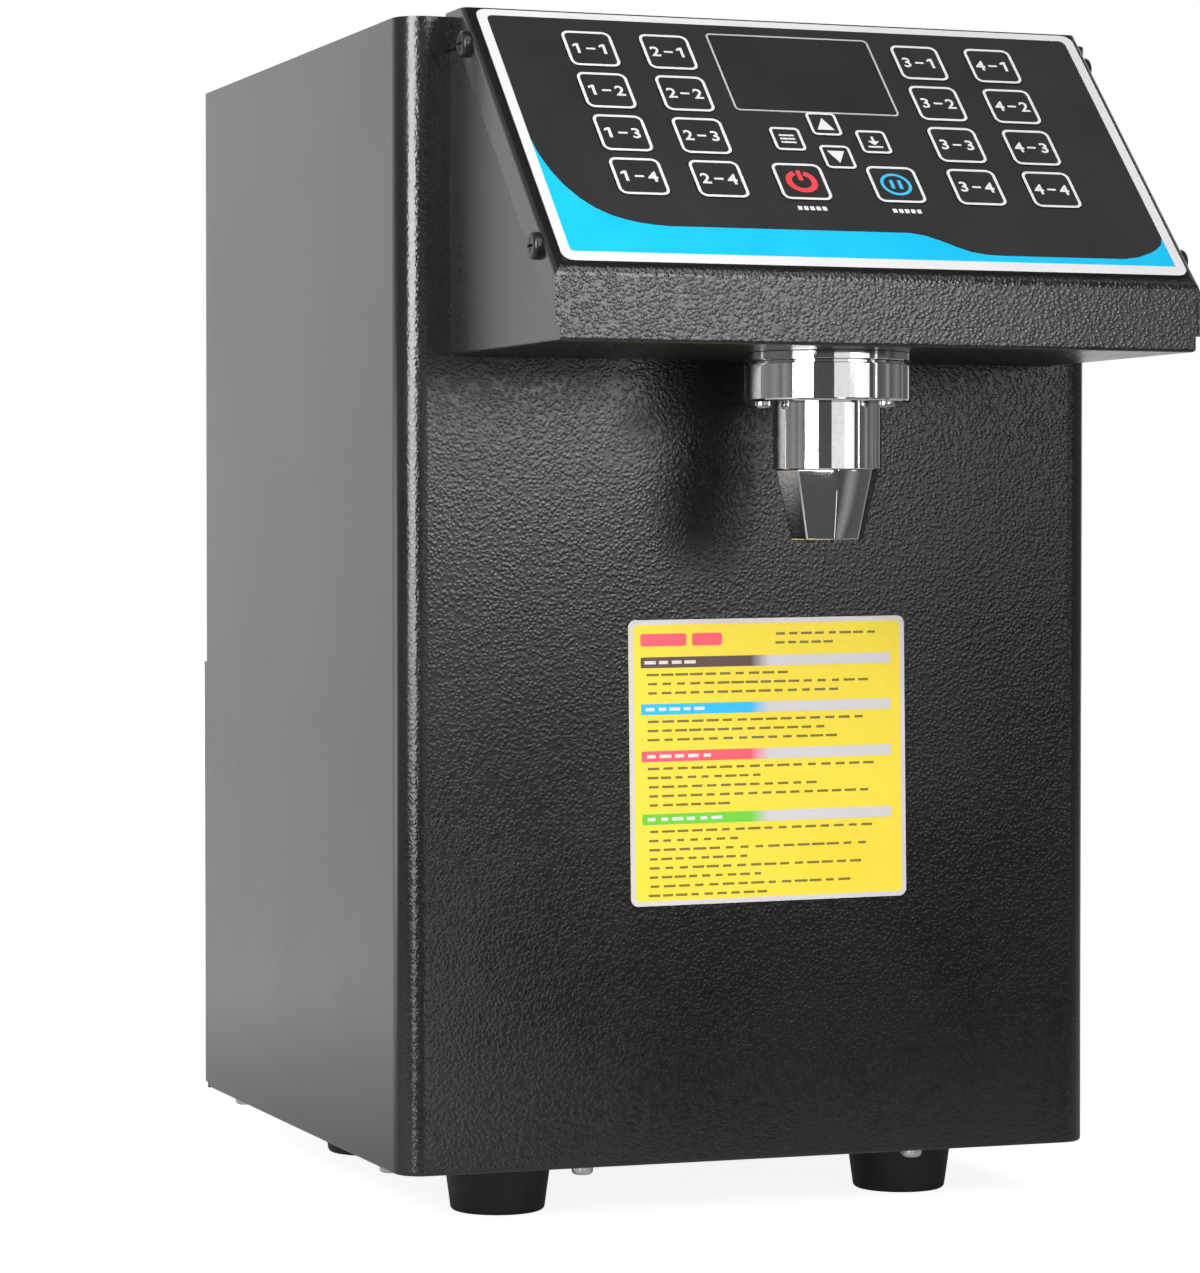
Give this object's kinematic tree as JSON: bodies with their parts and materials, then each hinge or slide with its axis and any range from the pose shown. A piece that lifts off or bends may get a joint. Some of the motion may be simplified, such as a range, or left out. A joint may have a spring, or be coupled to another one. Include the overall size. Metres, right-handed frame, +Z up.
{
  "type": "fructose dispenser",
  "caption": "Counter syrup dispenser: black sheet-metal case on rubber feet, overhanging sloped keypad head, polished nozzle below, round tank and gear pump inside, mains inlet at the rear.",
  "frame": {"origin": "on the ground under the feet, in the middle of the overall width and the overall depth", "axes": "+Z up, the keypad head and nozzle face -Y, +X to the right of someone who faces the back of the case looking along +Y"},
  "size_m": [0.25, 0.3641, 0.4153],
  "materials": {
    "black_coat": "gloss hammered powder coat",
    "black_panel": "gloss powder coat",
    "printed_film": "printed polyester film, black with a grey border and a blue band",
    "key_film": "printed polyester film, black with a white outline",
    "display_tint": "tinted clear pane",
    "dark_plastic": "moulded black plastic",
    "circuit_board": "green circuit board",
    "black_screw": "gloss black oxide",
    "polished_steel": "mirror-polished stainless steel",
    "bright_screw": "zinc-plated steel",
    "tank_steel": "brushed stainless steel",
    "lid_steel": "brushed stainless steel",
    "heater_silicone": "orange-red silicone rubber",
    "hose_silicone": "milky silicone rubber",
    "pump_metal": "machined aluminium",
    "gear_steel": "machined stainless steel",
    "motor_steel": "zinc-plated steel",
    "bracket_steel": "zinc-plated steel",
    "supply_case": "plain sheet aluminium",
    "inlet_plastic": "moulded black plastic",
    "rocker_plastic": "red translucent plastic",
    "foot_rubber": "black moulded rubber",
    "yellow_card": "printed vinyl, yellow with a grey border and coloured bars"
  },
  "bodies": {
    "case": {"outer_shell": "black_coat", "base_plate": "black_coat", "rear_panel": "black_coat", "rear_cover": "black_coat", "top_deck": "black_coat", "head_housing": "black_coat", "keypad_panel": "black_panel", "keypad_overlay": "printed_film", "display_window": "display_tint", "display_module": "dark_plastic", "control_board": "circuit_board", "key_switches": "dark_plastic", "head_screws": "black_screw", "nozzle_ring": "polished_steel", "nozzle_collar": "polished_steel", "nozzle_body": "polished_steel", "nozzle_tip": "polished_steel", "nozzle_nut": "bright_screw", "tank": "tank_steel", "tank_outlet": "tank_steel", "heater_band": "heater_silicone", "suction_hose": "hose_silicone", "delivery_hose": "hose_silicone", "hose_clamps": "bright_screw", "pump_body": "pump_metal", "pump_cover": "pump_metal", "motor": "motor_steel", "pump_bracket": "bracket_steel", "power_supply": "supply_case", "inlet_module": "inlet_plastic", "rubber_feet": "foot_rubber", "steel_screws": "bright_screw", "care_card": "yellow_card"},
    "lid": {"tank_lid": "lid_steel", "lid_knob": "dark_plastic"},
    "rocker": {"power_rocker": "rocker_plastic"},
    "drive": {"drive_gear": "gear_steel"},
    "driven": {"driven_gear": "gear_steel"},
    "key_1_1": {"key_1_1": "key_film"},
    "key_1_2": {"key_1_2": "key_film"},
    "key_1_3": {"key_1_3": "key_film"},
    "key_1_4": {"key_1_4": "key_film"},
    "key_2_1": {"key_2_1": "key_film"},
    "key_2_2": {"key_2_2": "key_film"},
    "key_2_3": {"key_2_3": "key_film"},
    "key_2_4": {"key_2_4": "key_film"},
    "key_3_1": {"key_3_1": "key_film"},
    "key_3_2": {"key_3_2": "key_film"},
    "key_3_3": {"key_3_3": "key_film"},
    "key_3_4": {"key_3_4": "key_film"},
    "key_4_1": {"key_4_1": "key_film"},
    "key_4_2": {"key_4_2": "key_film"},
    "key_4_3": {"key_4_3": "key_film"},
    "key_4_4": {"key_4_4": "key_film"},
    "key_set": {"key_set": "key_film"},
    "key_save": {"key_save": "key_film"},
    "key_up": {"key_up": "key_film"},
    "key_down": {"key_down": "key_film"},
    "key_power": {"key_power": "key_film"},
    "key_pause": {"key_pause": "key_film"}
  },
  "joints": [
    {"name": "lid_lift", "type": "slide", "parent": "case", "child": "lid", "axis": [0, 0, 1], "range_m": [0, 0.15]},
    {"name": "rocker_tilt", "type": "hinge", "parent": "case", "child": "rocker", "pos_m": [-0.08, 0.17635, 0.1005], "axis": [0, 0, 1], "range_deg": [0, 14]},
    {"name": "drive_spin", "type": "hinge", "parent": "case", "child": "drive", "pos_m": [0, -0.00225, 0.063], "axis": [1, 0, 0], "continuous": true},
    {"name": "driven_spin", "type": "hinge", "parent": "case", "child": "driven", "pos_m": [0, -0.00225, 0.087], "axis": [1, 0, 0], "continuous": true},
    {"name": "key_1_1_press", "type": "slide", "parent": "case", "child": "key_1_1", "axis": [0, 0.7091, -0.7051], "range_m": [0, 0.0004], "stiffness_N_per_m": 500},
    {"name": "key_1_2_press", "type": "slide", "parent": "case", "child": "key_1_2", "axis": [0, 0.7091, -0.7051], "range_m": [0, 0.0004], "stiffness_N_per_m": 500},
    {"name": "key_1_3_press", "type": "slide", "parent": "case", "child": "key_1_3", "axis": [0, 0.7091, -0.7051], "range_m": [0, 0.0004], "stiffness_N_per_m": 500},
    {"name": "key_1_4_press", "type": "slide", "parent": "case", "child": "key_1_4", "axis": [0, 0.7091, -0.7051], "range_m": [0, 0.0004], "stiffness_N_per_m": 500},
    {"name": "key_2_1_press", "type": "slide", "parent": "case", "child": "key_2_1", "axis": [0, 0.7091, -0.7051], "range_m": [0, 0.0004], "stiffness_N_per_m": 500},
    {"name": "key_2_2_press", "type": "slide", "parent": "case", "child": "key_2_2", "axis": [0, 0.7091, -0.7051], "range_m": [0, 0.0004], "stiffness_N_per_m": 500},
    {"name": "key_2_3_press", "type": "slide", "parent": "case", "child": "key_2_3", "axis": [0, 0.7091, -0.7051], "range_m": [0, 0.0004], "stiffness_N_per_m": 500},
    {"name": "key_2_4_press", "type": "slide", "parent": "case", "child": "key_2_4", "axis": [0, 0.7091, -0.7051], "range_m": [0, 0.0004], "stiffness_N_per_m": 500},
    {"name": "key_3_1_press", "type": "slide", "parent": "case", "child": "key_3_1", "axis": [0, 0.7091, -0.7051], "range_m": [0, 0.0004], "stiffness_N_per_m": 500},
    {"name": "key_3_2_press", "type": "slide", "parent": "case", "child": "key_3_2", "axis": [0, 0.7091, -0.7051], "range_m": [0, 0.0004], "stiffness_N_per_m": 500},
    {"name": "key_3_3_press", "type": "slide", "parent": "case", "child": "key_3_3", "axis": [0, 0.7091, -0.7051], "range_m": [0, 0.0004], "stiffness_N_per_m": 500},
    {"name": "key_3_4_press", "type": "slide", "parent": "case", "child": "key_3_4", "axis": [0, 0.7091, -0.7051], "range_m": [0, 0.0004], "stiffness_N_per_m": 500},
    {"name": "key_4_1_press", "type": "slide", "parent": "case", "child": "key_4_1", "axis": [0, 0.7091, -0.7051], "range_m": [0, 0.0004], "stiffness_N_per_m": 500},
    {"name": "key_4_2_press", "type": "slide", "parent": "case", "child": "key_4_2", "axis": [0, 0.7091, -0.7051], "range_m": [0, 0.0004], "stiffness_N_per_m": 500},
    {"name": "key_4_3_press", "type": "slide", "parent": "case", "child": "key_4_3", "axis": [0, 0.7091, -0.7051], "range_m": [0, 0.0004], "stiffness_N_per_m": 500},
    {"name": "key_4_4_press", "type": "slide", "parent": "case", "child": "key_4_4", "axis": [0, 0.7091, -0.7051], "range_m": [0, 0.0004], "stiffness_N_per_m": 500},
    {"name": "key_set_press", "type": "slide", "parent": "case", "child": "key_set", "axis": [0, 0.7091, -0.7051], "range_m": [0, 0.0004], "stiffness_N_per_m": 500},
    {"name": "key_save_press", "type": "slide", "parent": "case", "child": "key_save", "axis": [0, 0.7091, -0.7051], "range_m": [0, 0.0004], "stiffness_N_per_m": 500},
    {"name": "key_up_press", "type": "slide", "parent": "case", "child": "key_up", "axis": [0, 0.7091, -0.7051], "range_m": [0, 0.0004], "stiffness_N_per_m": 500},
    {"name": "key_down_press", "type": "slide", "parent": "case", "child": "key_down", "axis": [0, 0.7091, -0.7051], "range_m": [0, 0.0004], "stiffness_N_per_m": 500},
    {"name": "key_power_press", "type": "slide", "parent": "case", "child": "key_power", "axis": [0, 0.7091, -0.7051], "range_m": [0, 0.0004], "stiffness_N_per_m": 500},
    {"name": "key_pause_press", "type": "slide", "parent": "case", "child": "key_pause", "axis": [0, 0.7091, -0.7051], "range_m": [0, 0.0004], "stiffness_N_per_m": 500}
  ],
  "couplings": [
    {"joint": "driven_spin", "follows": "drive_spin", "ratio": -1}
  ]
}
